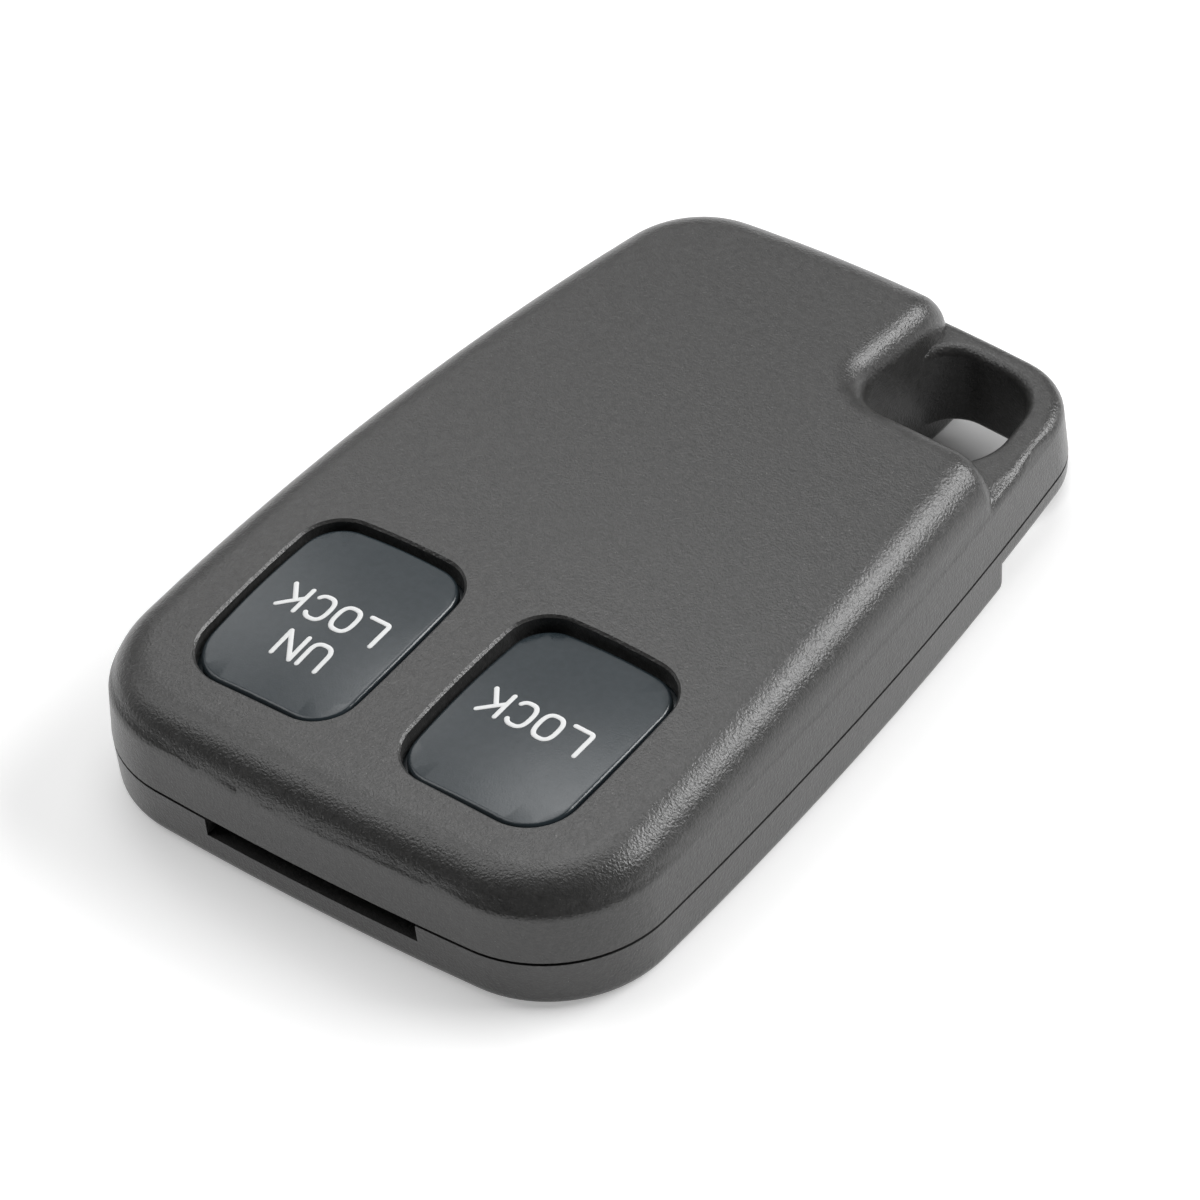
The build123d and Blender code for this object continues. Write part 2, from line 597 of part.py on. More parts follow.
# Back cover: tray with a shadow line and lip at its rim, the pry slot, seats for the board and the eye
with BuildPart() as back_cover:
    with BuildSketch(Plane.XY.offset(PARTING_Z)):
        add(fob_outline())
    extrude(amount=-PARTING_Z, taper=BACK_DRAFT)
    fillet(back_cover.faces().sort_by(Axis.Z)[0].edges(), BACK_ROLL)
    with BuildSketch():
        add(eye_region())
    extrude(amount=PARTING_Z, mode=Mode.SUBTRACT)
    under_walls = back_cover.faces().filter_by(lambda f: abs(f.normal_at().Z) < 1e-6)
    under_ridge = under_walls.edges().filter_by(Axis.Z, reverse=True)
    fillet(under_ridge.filter_by(lambda e: e.center().Z < EYE_BOTTOM_Z / 2), EYE_UNDER_RIDGE_R)
    add(under_eye_block.part)
    with BuildSketch(Plane.XY.offset(LINE_Z)):
        add(fob_outline(-WALL))
        add(fob_outline(SHADOW_DEPTH), mode=Mode.SUBTRACT)
    extrude(amount=PARTING_Z, mode=Mode.SUBTRACT)
    with BuildSketch(Plane.XY.offset(FLOOR)):
        add(inner_plan(WALL))
    extrude(amount=PARTING_Z, mode=Mode.SUBTRACT)
    with BuildSketch(Plane.XY.offset(PARTING_Z)):
        add(rim_band(LIP_INSET, WALL))
    extrude(amount=LIP_HEIGHT)
    with BuildSketch(Plane.XY.offset(PARTING_Z + BEAD_ABOVE_LINE - BEAD_CLEARANCE)):
        add(bead_band(0, REBATE_INSET + BEAD_PROUD + LIP_CLEARANCE, BEAD_LENGTH + 2 * BEAD_CLEARANCE))
    extrude(amount=LIP_HEIGHT, mode=Mode.SUBTRACT)
    with BuildSketch(Plane.XY.offset(PARTING_Z)):
        with Locations((0, -LENGTH / 2 + PRY_DEPTH)):
            Rectangle(PRY_WIDTH, LENGTH, align=(Align.CENTER, Align.MAX))
    extrude(amount=-PRY_HEIGHT, mode=Mode.SUBTRACT)
    with BuildSketch(Plane.XY.offset(FLOOR)):
        with Locations(*SEAT_PLACES):
            Circle(SEAT_R)
        with Locations(*[(side * WINDOW_X, WINDOW_Y) for side in SIDES.values()]):
            Circle(SWITCH_POST_R)
    extrude(amount=BOARD_Z - FLOOR)
    with BuildSketch(Plane.XY.offset(BOARD_Z)):
        with Locations(*SEAT_PLACES):
            Circle(SEAT_PIN_R)
    extrude(amount=BOARD_THICKNESS + SEAT_PIN_PROUD)

# Circuit board, shaped to the tray and holed for the seat pins
with BuildPart() as circuit_board:
    with BuildSketch(Plane.XY.offset(BOARD_Z)):
        add(inner_plan(WALL + BOARD_GAP))
        with Locations(*SEAT_PLACES):
            Circle(SEAT_PIN_R + SEAT_PIN_CLEARANCE, mode=Mode.SUBTRACT)
    extrude(amount=BOARD_THICKNESS)

# Keypad membrane, one silicone sheet under both caps
with BuildPart() as keypad_membrane:
    with BuildSketch(Plane.XY.offset(MEMBRANE_Z)) as sheet:
        add(fob_outline(WALL + MEMBRANE_EDGE_GAP))
        with Locations((0, MEMBRANE_FAR_Y)):
            Rectangle(2 * LENGTH, LENGTH, align=(Align.CENTER, Align.MAX), mode=Mode.INTERSECT)
        fillet(sheet.vertices().group_by(Axis.Y)[-1], MEMBRANE_CORNER_R)
        with Locations(*PEG_PLACES):
            Circle(PEG_R + PEG_CLEARANCE, mode=Mode.SUBTRACT)
    extrude(amount=MEMBRANE_THICKNESS)

# Coin cell: an upturned can, the smaller cap under it, a gasket between and the two discs inside
with BuildPart() as battery_can:
    with BuildSketch(Plane((CELL_X, CELL_Y, CELL_Z + CELL_CAP_PROUD))):
        Circle(CELL_R)
    extrude(amount=CELL_HEIGHT - CELL_CAP_PROUD)
    fillet(battery_can.edges().group_by(Axis.Z)[-1], CELL_EDGE_R)
    with BuildSketch(Plane((CELL_X, CELL_Y, CELL_Z))):
        Circle(CELL_R - CELL_CAN_WALL)
    extrude(amount=CELL_HEIGHT - CELL_CAN_WALL, mode=Mode.SUBTRACT)

with BuildPart() as battery_cap:
    with BuildSketch(Plane((CELL_X, CELL_Y, CELL_Z))):
        Circle(CELL_CAP_R)
    extrude(amount=CELL_GASKET_HEIGHT)
    fillet(battery_cap.edges().group_by(Axis.Z)[0], CELL_CAP_PROUD)
    with BuildSketch(Plane((CELL_X, CELL_Y, CELL_Z + CELL_CAN_WALL))):
        Circle(CELL_CAP_R - CELL_CAN_WALL)
    extrude(amount=CELL_GASKET_HEIGHT, mode=Mode.SUBTRACT)

with BuildPart() as battery_gasket:
    with BuildSketch(Plane((CELL_X, CELL_Y, CELL_Z + CELL_CAP_PROUD))):
        Circle(CELL_R - CELL_CAN_WALL - CELL_FIT)
        Circle(CELL_CAP_R + CELL_FIT, mode=Mode.SUBTRACT)
    extrude(amount=CELL_GASKET_HEIGHT)

with BuildPart() as battery_anode:
    with BuildSketch(Plane((CELL_X, CELL_Y, CELL_Z + CELL_CAN_WALL))):
        Circle(CELL_ANODE_R)
    extrude(amount=CELL_ANODE_THICKNESS)

with BuildPart() as battery_cathode:
    with BuildSketch(Plane((CELL_X, CELL_Y, CELL_TOP - CELL_CAN_WALL))):
        Circle(CELL_CATHODE_R)
    extrude(amount=-(CELL_HEIGHT - 2 * CELL_CAN_WALL - CELL_ANODE_THICKNESS))

# Contacts: a clip bent over the can and down to the board, and a leaf that lifts to the cap
with BuildPart() as battery_clip:
    with BuildSketch(Plane.YZ.offset(CELL_X - CLIP_WIDTH / 2)):
        with BuildLine():
            leg = CELL_R + CLIP_SIDE_GAP
            foot = leg + CLIP_FOOT_LENGTH
            FilletPolyline(
                (CELL_Y - foot, BOARD_TOP),
                (CELL_Y - leg, BOARD_TOP),
                (CELL_Y - leg, CELL_TOP),
                (CELL_Y + leg, CELL_TOP),
                (CELL_Y + leg, BOARD_TOP),
                (CELL_Y + foot, BOARD_TOP),
                radius=CONTACT_BEND_R,
            )
            offset(amount=CONTACT_THICKNESS, side=Side.LEFT)
        make_face()
    extrude(amount=CLIP_WIDTH)

with BuildPart() as battery_leaf:
    with BuildSketch(Plane.XZ.offset(-CELL_Y - LEAF_WIDTH / 2)):
        with BuildLine():
            Polyline(
                (CELL_X - LEAF_PAD_LENGTH, BOARD_TOP),
                (CELL_X, BOARD_TOP),
                (CELL_X + LEAF_TONGUE_LENGTH, CELL_Z - CONTACT_THICKNESS),
                (CELL_X + LEAF_TONGUE_LENGTH, CELL_Z),
                (CELL_X, BOARD_TOP + CONTACT_THICKNESS),
                (CELL_X - LEAF_PAD_LENGTH, BOARD_TOP + CONTACT_THICKNESS),
                close=True,
            )
        make_face()
    extrude(amount=LEAF_WIDTH)

# Encoder chip and its leads
with BuildPart() as encoder_chip:
    with BuildSketch(Plane((CHIP_X, CHIP_Y, BOARD_TOP + CHIP_STAND_OFF))):
        Rectangle(CHIP_WIDTH, CHIP_LENGTH)
    extrude(amount=CHIP_HEIGHT)
    chamfer(encoder_chip.edges().group_by(Axis.Z)[-1], CHIP_EDGE_R)

lead_rows = [(n - (CHIP_LEADS_PER_SIDE - 1) / 2) * CHIP_LEAD_PITCH for n in range(CHIP_LEADS_PER_SIDE)]
encoder_chip_leads = gull_leads(
    [(CHIP_X + end * CHIP_WIDTH / 2, CHIP_Y + row, end) for end in (-1, 1) for row in lead_rows],
    CHIP_LEAD_RISE,
    CHIP_LEAD_REACH,
    CHIP_LEAD_WIDTH,
    CHIP_LEAD_THICKNESS,
)

# Radio transistor and its leads
with BuildPart() as radio_transistor:
    with BuildSketch(Plane((TRANSISTOR_X, PARTS_ROW_Y, BOARD_TOP + CHIP_STAND_OFF))):
        Rectangle(TRANSISTOR_WIDTH, TRANSISTOR_LENGTH)
    extrude(amount=TRANSISTOR_HEIGHT)
    chamfer(radio_transistor.edges().group_by(Axis.Z)[-1], CHIP_EDGE_R)

radio_transistor_leads = gull_leads(
    [
        (TRANSISTOR_X - TRANSISTOR_WIDTH / 2, PARTS_ROW_Y - TRANSISTOR_LEAD_PITCH / 2, -1),
        (TRANSISTOR_X - TRANSISTOR_WIDTH / 2, PARTS_ROW_Y + TRANSISTOR_LEAD_PITCH / 2, -1),
        (TRANSISTOR_X + TRANSISTOR_WIDTH / 2, PARTS_ROW_Y, 1),
    ],
    CHIP_LEAD_RISE,
    TRANSISTOR_LEAD_REACH,
    CHIP_LEAD_WIDTH,
    CHIP_LEAD_THICKNESS,
)

# Resonator, crystal and the small parts round them
resonator_base = board_block(
    [(CHIP_X, RESONATOR_Y)], RESONATOR_SIDE, RESONATOR_SIDE, RESONATOR_BASE_HEIGHT, RESONATOR_CORNER_R
)
with BuildPart() as resonator_lid:
    with BuildSketch(Plane((CHIP_X, RESONATOR_Y, BOARD_TOP + RESONATOR_BASE_HEIGHT))):
        RectangleRounded(RESONATOR_LID_SIDE, RESONATOR_LID_SIDE, RESONATOR_CORNER_R)
    extrude(amount=RESONATOR_LID_HEIGHT)

timing_crystal = board_block(
    [(CRYSTAL_X, PARTS_ROW_Y)], CRYSTAL_LENGTH, CRYSTAL_WIDTH, CRYSTAL_HEIGHT, CRYSTAL_CORNER_R
)
passive_row_y = CHIP_Y + CHIP_LENGTH / 2 + PASSIVE_ABOVE_CHIP
capacitor_xs = (*CAPACITOR_XS, TRANSISTOR_X + CAPACITOR_FROM_TRANSISTOR)
chip_capacitors = board_block(
    [(x, PARTS_ROW_Y) for x in capacitor_xs] + [(CHIP_X - PASSIVE_LENGTH, passive_row_y)],
    PASSIVE_WIDTH,
    PASSIVE_LENGTH,
    CAPACITOR_HEIGHT,
)
chip_resistors = board_block(
    [(x, PARTS_ROW_Y) for x in RESISTOR_XS] + [(CHIP_X + PASSIVE_LENGTH, passive_row_y)],
    PASSIVE_WIDTH,
    PASSIVE_LENGTH,
    RESISTOR_HEIGHT,
)

# Antenna: a metal strip that stands on the board along its left and far edges
antenna_outer = WALL + BOARD_GAP + ANTENNA_INSET
with BuildPart() as antenna_strip:
    with BuildSketch(Plane.XY.offset(BOARD_TOP)):
        add(inner_plan(antenna_outer))
        add(inner_plan(antenna_outer + ANTENNA_THICKNESS), mode=Mode.SUBTRACT)
        with Locations((ANTENNA_RIGHT_X, ANTENNA_NEAR_Y)):
            Rectangle(LENGTH, LENGTH, align=(Align.MAX, Align.MIN), mode=Mode.INTERSECT)
    extrude(amount=ANTENNA_HEIGHT)

pieces = {
    "front_cover": front_cover.part,
    "back_cover": back_cover.part,
    "unlock_button": make_cap(SIDES["unlock"], UNLOCK_CAP_DROP, 0.0),
    "lock_button": make_cap(SIDES["lock"], LOCK_CAP_DROP, LOCK_CAP_LEAN),
    "keypad_membrane": keypad_membrane.part,
    "circuit_board": circuit_board.part,
    "battery_can": battery_can.part,
    "battery_cap": battery_cap.part,
    "battery_gasket": battery_gasket.part,
    "battery_anode": battery_anode.part,
    "battery_cathode": battery_cathode.part,
    "battery_clip": battery_clip.part,
    "battery_leaf": battery_leaf.part,
    "encoder_chip": encoder_chip.part,
    "encoder_chip_leads": encoder_chip_leads,
    "radio_transistor": radio_transistor.part,
    "radio_transistor_leads": radio_transistor_leads,
    "resonator_base": resonator_base,
    "resonator_lid": resonator_lid.part,
    "timing_crystal": timing_crystal,
    "chip_capacitors": chip_capacitors,
    "chip_resistors": chip_resistors,
    "antenna_strip": antenna_strip.part,
}
for button, side in SIDES.items():
    for piece, solid in make_switch(side).items():
        pieces[f"{button}_{piece}"] = solid

os.makedirs("parts", exist_ok=True)
for name, solid in pieces.items():
    solid.label = name
    export_step(solid, f"parts/{name}.step")
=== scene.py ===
import json
import math

import bpy
import numpy as np
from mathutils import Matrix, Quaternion, Vector


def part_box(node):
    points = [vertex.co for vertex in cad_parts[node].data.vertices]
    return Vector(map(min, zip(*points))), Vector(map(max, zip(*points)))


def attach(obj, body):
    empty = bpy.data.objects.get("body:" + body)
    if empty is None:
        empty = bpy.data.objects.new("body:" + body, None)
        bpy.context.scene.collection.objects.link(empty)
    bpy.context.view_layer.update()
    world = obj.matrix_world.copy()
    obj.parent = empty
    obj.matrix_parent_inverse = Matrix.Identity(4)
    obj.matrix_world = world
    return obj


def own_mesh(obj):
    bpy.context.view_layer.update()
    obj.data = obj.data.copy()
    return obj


# Looks of the two-button key fob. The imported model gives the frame: metres, origin on the table under the
# middle of the fob, +Z up towards the buttons, +Y towards the key-ring end, +X to the right.

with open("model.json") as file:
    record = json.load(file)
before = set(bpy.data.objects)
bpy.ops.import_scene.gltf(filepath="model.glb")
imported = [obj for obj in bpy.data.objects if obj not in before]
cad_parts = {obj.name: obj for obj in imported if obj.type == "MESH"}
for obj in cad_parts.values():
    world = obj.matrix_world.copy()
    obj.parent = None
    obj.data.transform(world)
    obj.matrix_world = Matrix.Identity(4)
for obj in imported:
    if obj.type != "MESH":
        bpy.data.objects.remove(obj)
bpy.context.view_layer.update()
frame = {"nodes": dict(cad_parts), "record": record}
MM = 0.001

# Where the photograph was taken from: degrees, metres, and the lens and sensor in millimetres
CAMERA_AZIMUTH = 41.38
CAMERA_ELEVATION = 41.74
CAMERA_ROLL = -5.158
CAMERA_DISTANCE = 440.27 * MM
CAMERA_TARGET = Vector((0.608, -1.756, 5.0)) * MM
CAMERA_LENS = 219.01
SENSOR_WIDTH = 36.0
CLIP_START = 0.01

# Soft lamps, all at one distance from the fob: name, azimuth and elevation in degrees, width and height in
# metres, and power in watts
LAMP_DISTANCE = 0.6
LAMP_AIM = Vector((0, 0, 5 * MM))
LAMPS = (
    ("far_right_softbox", 140, 37, 0.44, 0.27, 3.1),
    ("far_left_panel", 222, 38, 0.5, 0.5, 0.48),
    ("far_left_softbox", 245, 39, 0.18, 0.18, 0.14),
    ("top_softbox", 205, 76, 0.4, 0.4, 1.05),
    ("cap_softbox", 222, 60, 0.14, 0.14, 0.12),
    ("near_left_softbox", 300, 55, 0.3, 0.3, 0.63),
    ("left_softbox", 282, 30, 0.3, 0.3, 0.3),
)
WORLD_GLOW = 0.03

# The paper under the fob. Close to the middle of the key-ring eye it has painted shade: a darker colour
# and a weaker glow, which fade out further away.
FLOOR_SIZE = 4
EYE_MIDDLE = (8.0 * MM, 24.5 * MM, 0.0)
PAINTED_SHADE_REACH = (5.5 * MM, 7.5 * MM)
PAPER = (0.86, 0.86, 0.86)
PAINTED_SHADE_PAPER = (0.42, 0.42, 0.42)
PAPER_GLOW = (0.02, 0.35)

# The part of a noise's range that a pattern uses
NOISE_MIDDLE = (0.35, 0.65)
NOISE_WIDE = (0.3, 0.7)
NOISE_PEAKS = (0.74, 0.8)

# The two plastics that show. Colours are linear red, green and blue.
PLASTIC_IOR = 1.6
CASE_TONES = ((0.038, 0.0377, 0.037), (0.062, 0.0615, 0.0604))
CASE_SPECK = (0.2, 0.198, 0.194)
CASE_ROUGHNESS = (0.275, 0.31)
CASE_GRAIN = 0.17 * MM
CASE_GRAIN_DEPTH = 0.047 * MM
BUTTON_TONES = ((0.0205, 0.0295, 0.0352), (0.0258, 0.0358, 0.0422))
BUTTON_ROUGHNESS = (0.225, 0.255)
BUTTON_TINT = (0.98, 0.99, 1.0, 1.0)

# Plastics, rubbers and ceramics: colour, roughness, size of the grain, its depth, and how far the two tones
# stand from the colour
MOULDED = {
    "silicone": ((0.2, 0.21, 0.22), 0.55, 0.9 * MM, 0.004 * MM, 0.08),
    "copper_trace": ((0.04, 0.3, 0.12), 0.3, 0.5 * MM, 0.002 * MM, 0.1),
    "cell_gasket": ((0.75, 0.74, 0.7), 0.5, 0.4 * MM, 0.003 * MM, 0.15),
    "lithium": ((0.5, 0.5, 0.52), 0.45, 0.3 * MM, 0.01 * MM, 0.25),
    "manganese_oxide": ((0.03, 0.03, 0.03), 0.8, 0.12 * MM, 0.02 * MM, 0.4),
    "chip_plastic": ((0.015, 0.015, 0.017), 0.5, 0.08 * MM, 0.01 * MM, 0.3),
    "ceramic": ((0.72, 0.7, 0.64), 0.6, 0.1 * MM, 0.006 * MM, 0.15),
    "capacitor_ceramic": ((0.42, 0.3, 0.18), 0.55, 0.1 * MM, 0.006 * MM, 0.15),
    "resistor_black": ((0.03, 0.03, 0.035), 0.4, 0.1 * MM, 0.004 * MM, 0.3),
    "switch_plastic": ((0.03, 0.03, 0.03), 0.5, 0.15 * MM, 0.006 * MM, 0.2),
    "plunger_plastic": ((0.09, 0.05, 0.03), 0.38, 0.25 * MM, 0.003 * MM, 0.15),
}

SILICONE_LIGHT = 0.2
SILICONE_REACH = 0.5 * MM

# Metals: colour, roughness, and the scale of the noise along each axis, where a small scale draws its lines out
METALS = {
    "cell_steel": ((0.62, 0.62, 0.6), 0.3, (0.6, 0.6, 0.6)),
    "contact_metal": ((0.7, 0.66, 0.55), 0.32, (1.0, 0.04, 1.0)),
    "tinned_metal": ((0.75, 0.75, 0.74), 0.28, (0.6, 0.6, 0.6)),
    "lid_metal": ((0.78, 0.62, 0.32), 0.3, (1.0, 0.04, 1.0)),
    "crystal_can": ((0.6, 0.6, 0.6), 0.3, (0.04, 1.0, 1.0)),
    "antenna_metal": ((0.72, 0.45, 0.28), 0.34, (1.0, 1.0, 0.06)),
    "switch_steel": ((0.65, 0.65, 0.65), 0.34, (0.04, 1.0, 1.0)),
}
METAL_CONTRAST = 0.1
LINE_SPACING = 0.12 * MM

# The circuit board's glass. The wave pattern repeats every 0.314 of this, so the weave is 0.66 mm wide.
WEAVE_SCALE = 2.1 * MM
WEAVE_DISTORTION = 0.6
MASK_TONES = ((0.013, 0.115, 0.045), (0.018, 0.145, 0.058))
BARE_GLASS = (0.46, 0.4, 0.2)
FACING_UP = (0.4, 0.6)

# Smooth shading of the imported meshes
WELD_GAP = 0.0005 * MM
SHARP_ANGLE = math.radians(30)
NORMAL_WEIGHT = 50

# Button faces: each lies on a ball of its own, sunk below the cover's domed top, and the lock's leans by
# degrees
COVER_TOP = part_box("front_cover")[1].z
BUTTON_X = 8.0 * MM
BUTTON_Y = -16.5 * MM
DOME_R = 310.0 * MM
DOME_CENTRE_Y = 6.4 * MM
FACE_R = 80.0 * MM
UNLOCK_DROP = 0.1 * MM
LOCK_DROP = 0.3 * MM
LOCK_LEAN = 1.6

# Printed words: sizes, how square the round letters are, and the steps of a stroke and its rounded end
LETTER_HEIGHT = 1.95 * MM
LETTER_WIDTH = 1.36 * MM
LETTER_PITCH = 1.97 * MM
STROKE_WIDTH = 0.33 * MM
INK_THICKNESS = 0.03 * MM
SQUARENESS = 2.7
STROKE_STEPS = 20
SECTION_STEPS = 12
TIP_ANGLE = 8
TIP_SHARE = 0.02

# Solder, tracks and metal ends on the circuit board
BOARD_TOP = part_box("circuit_board")[1].z
TRACK_WIDTH = 0.32 * MM
TRACK_HEIGHT = 0.035 * MM
SOLDER_SPREAD = 0.2 * MM
LONG_SPREAD = 0.32 * MM
SOLDER_HEIGHT = 0.16 * MM
MOUND_RINGS = 6
MOUND_STEPS = 20
MOUND_TURN = 0.48 * math.pi
BAR_CORNERS = 4
METAL_END_LENGTH = 0.32 * MM
METAL_END_THICKNESS = 0.02 * MM
SOLID_GAP = 0.3 * MM
SHORTEST_RUN = 0.001 * MM
RESONATOR_INSET = 1 * MM


def add_node(material, kind, **settings):
    """A shader node with the settings given by name."""
    node = material.node_tree.nodes.new(kind)
    for name, value in settings.items():
        setattr(node, name, value)
    return node


def join(material, source, target):
    """Links one socket to another."""
    material.node_tree.links.new(source, target)


def start_material(name, colour, roughness, metallic=0.0):
    """A material whose constants sit on the shader's own sockets."""
    material = bpy.data.materials.new(name)
    material.use_nodes = True
    shader = material.node_tree.nodes["Principled BSDF"]
    shader.inputs["Base Color"].default_value = (*colour, 1)
    shader.inputs["Roughness"].default_value = roughness
    shader.inputs["Metallic"].default_value = metallic
    return material, shader


def noise(material, size, detail=2.0, roughness=0.5):
    """Noise whose grains are about size across, in the piece's own coordinates."""
    place = add_node(material, "ShaderNodeTexCoord")
    texture = add_node(material, "ShaderNodeTexNoise")
    texture.inputs["Scale"].default_value = 1 / size
    texture.inputs["Detail"].default_value = detail
    texture.inputs["Roughness"].default_value = roughness
    join(material, place.outputs["Object"], texture.inputs["Vector"])
    return texture.outputs["Fac"]


def spread(material, source, low, high, out_low=0.0, out_high=1.0):
    """Stretches a range of values onto another range, clamped."""
    node = add_node(material, "ShaderNodeMapRange")
    node.inputs["From Min"].default_value = low
    node.inputs["From Max"].default_value = high
    node.inputs["To Min"].default_value = out_low
    node.inputs["To Max"].default_value = out_high
    join(material, source, node.inputs["Value"])
    return node.outputs["Result"]


def mix_colours(material, amount, first, second):
    """A colour between two, by an amount from 0 to 1. Each colour is three numbers or a socket. The mix node
    has sockets of one name for each kind of data, so the colours' sockets are found by their kind."""
    node = add_node(material, "ShaderNodeMix", data_type="RGBA")
    join(material, amount, node.inputs["Factor"])
    colours = [socket for socket in node.inputs if socket.type == "RGBA"]
    for value, target in zip((first, second), colours):
        if isinstance(value, tuple):
            target.default_value = (*value, 1)
        else:
            join(material, value, target)
    return next(socket for socket in node.outputs if socket.type == "RGBA")


def bump(material, shader, height, depth):
    """Roughens the surface by a height from 0 to 1, depth deep."""
    node = add_node(material, "ShaderNodeBump")
    node.inputs["Distance"].default_value = depth
    join(material, height, node.inputs["Height"])
    join(material, node.outputs["Normal"], shader.inputs["Normal"])


def two_tones(colour, contrast):
    """The colour less and plus a share of itself, at most white."""
    darker = tuple(part * (1 - contrast) for part in colour)
    lighter = tuple(min(part * (1 + contrast), 1.0) for part in colour)
    return darker, lighter


def case_plastic():
    """Moulded plastic with a fine spark-eroded grain, a mottle under it and a few tiny pale specks."""
    material, shader = start_material("case_plastic", (0.05, 0.0496, 0.0487), 0.29)
    shader.inputs["IOR"].default_value = PLASTIC_IOR
    mottle = spread(material, noise(material, 0.4 * MM, detail=4.0, roughness=0.75), *NOISE_MIDDLE)
    tone = mix_colours(material, mottle, *CASE_TONES)
    specks = spread(material, noise(material, 0.12 * MM, detail=1.0), *NOISE_PEAKS)
    join(material, mix_colours(material, specks, tone, CASE_SPECK), shader.inputs["Base Color"])
    sheen = spread(material, noise(material, 6 * MM), *NOISE_WIDE, *CASE_ROUGHNESS)
    join(material, sheen, shader.inputs["Roughness"])
    bump(material, shader, noise(material, CASE_GRAIN, roughness=0.6), CASE_GRAIN_DEPTH)
    return material


def button_plastic():
    """Smooth satin plastic, nearly black with a cool cast."""
    material, shader = start_material("button_plastic", (0.023, 0.0325, 0.0385), 0.24)
    shader.inputs["Specular Tint"].default_value = BUTTON_TINT
    shader.inputs["IOR"].default_value = PLASTIC_IOR
    mottle = spread(material, noise(material, 0.5 * MM, detail=3.0, roughness=0.6), *NOISE_MIDDLE)
    join(material, mix_colours(material, mottle, *BUTTON_TONES), shader.inputs["Base Color"])
    sheen = spread(material, noise(material, 2.5 * MM, detail=3.0), *NOISE_WIDE, *BUTTON_ROUGHNESS)
    join(material, sheen, shader.inputs["Roughness"])
    bump(material, shader, noise(material, 0.12 * MM), 0.005 * MM)
    return material


def legend_paint():
    """White printing ink."""
    material, shader = start_material("legend_paint", (0.85, 0.86, 0.86), 0.5)
    bump(material, shader, noise(material, 0.08 * MM), 0.004 * MM)
    return material


def moulded(name, colour, roughness, grain, depth, contrast):
    """Plastic, rubber or ceramic: two tones close to the colour in an uneven mottle of grain across, a
    roughness that drifts slowly, and a surface as fine as the mottle and depth deep."""
    material, shader = start_material(name, colour, roughness)
    mottle = spread(material, noise(material, grain, detail=3.0, roughness=0.65), *NOISE_MIDDLE)
    tone = mix_colours(material, mottle, *two_tones(colour, contrast))
    join(material, tone, shader.inputs["Base Color"])
    drift = spread(material, noise(material, 2.0 * MM), *NOISE_WIDE, roughness - 0.04, roughness + 0.05)
    join(material, drift, shader.inputs["Roughness"])
    bump(material, shader, noise(material, grain * 0.6), depth)
    return material


def metal(name, colour, roughness, lines):
    """Rolled or drawn metal: fine lines along the axis whose scale is smallest, in tone and surface, and a
    roughness that varies in blots."""
    material, shader = start_material(name, colour, roughness, 1.0)
    place = add_node(material, "ShaderNodeTexCoord")
    stretch = add_node(material, "ShaderNodeMapping")
    stretch.inputs["Scale"].default_value = lines
    join(material, place.outputs["Object"], stretch.inputs["Vector"])
    texture = add_node(material, "ShaderNodeTexNoise")
    texture.inputs["Scale"].default_value = 1 / LINE_SPACING
    texture.inputs["Detail"].default_value = 3.0
    join(material, stretch.outputs["Vector"], texture.inputs["Vector"])
    streaks = spread(material, texture.outputs["Fac"], *NOISE_WIDE)
    tone = mix_colours(material, streaks, *two_tones(colour, METAL_CONTRAST))
    join(material, tone, shader.inputs["Base Color"])
    blots = noise(material, 1.4 * MM, detail=3.0)
    stain = spread(material, blots, *NOISE_WIDE, roughness - 0.06, roughness + 0.1)
    join(material, stain, shader.inputs["Roughness"])
    bump(material, shader, streaks, 0.002 * MM)
    return material


def board_laminate():
    """Green solder mask over woven glass: the product of a wave along X and one along Y. The sawn edge is
    bare straw-coloured glass, where the surface faces sideways."""
    material, shader = start_material("board_laminate", (0.015, 0.13, 0.05), 0.3)
    place = add_node(material, "ShaderNodeTexCoord")
    weave = []
    for axis in ("X", "Y"):
        wave = add_node(material, "ShaderNodeTexWave", bands_direction=axis)
        wave.inputs["Scale"].default_value = 1 / WEAVE_SCALE
        wave.inputs["Distortion"].default_value = WEAVE_DISTORTION
        join(material, place.outputs["Object"], wave.inputs["Vector"])
        weave.append(wave.outputs["Fac"])
    crossed = add_node(material, "ShaderNodeMath", operation="MULTIPLY")
    join(material, weave[0], crossed.inputs[0])
    join(material, weave[1], crossed.inputs[1])
    mask = mix_colours(material, crossed.outputs[0], *MASK_TONES)
    facing = add_node(material, "ShaderNodeNewGeometry")
    apart = add_node(material, "ShaderNodeSeparateXYZ")
    join(material, facing.outputs["Normal"], apart.inputs[0])
    upright = add_node(material, "ShaderNodeMath", operation="ABSOLUTE")
    join(material, apart.outputs["Z"], upright.inputs[0])
    flat = spread(material, upright.outputs[0], *FACING_UP)
    join(material, mix_colours(material, flat, BARE_GLASS, mask), shader.inputs["Base Color"])
    bump(material, shader, crossed.outputs[0], 0.004 * MM)
    return material


def let_light_in(material):
    """Lets a little light through, as silicone rubber does."""
    shader = material.node_tree.nodes["Principled BSDF"]
    shader.inputs["Subsurface Weight"].default_value = SILICONE_LIGHT
    shader.inputs["Subsurface Scale"].default_value = SILICONE_REACH


def make_finishes():
    """One material for each slot of the record."""
    made = {
        "case_plastic": case_plastic(),
        "button_plastic": button_plastic(),
        "legend_paint": legend_paint(),
        "board_laminate": board_laminate(),
    }
    for name, settings in MOULDED.items():
        made[name] = moulded(name, *settings)
    for name, settings in METALS.items():
        made[name] = metal(name, *settings)
    let_light_in(made["silicone"])
    return made


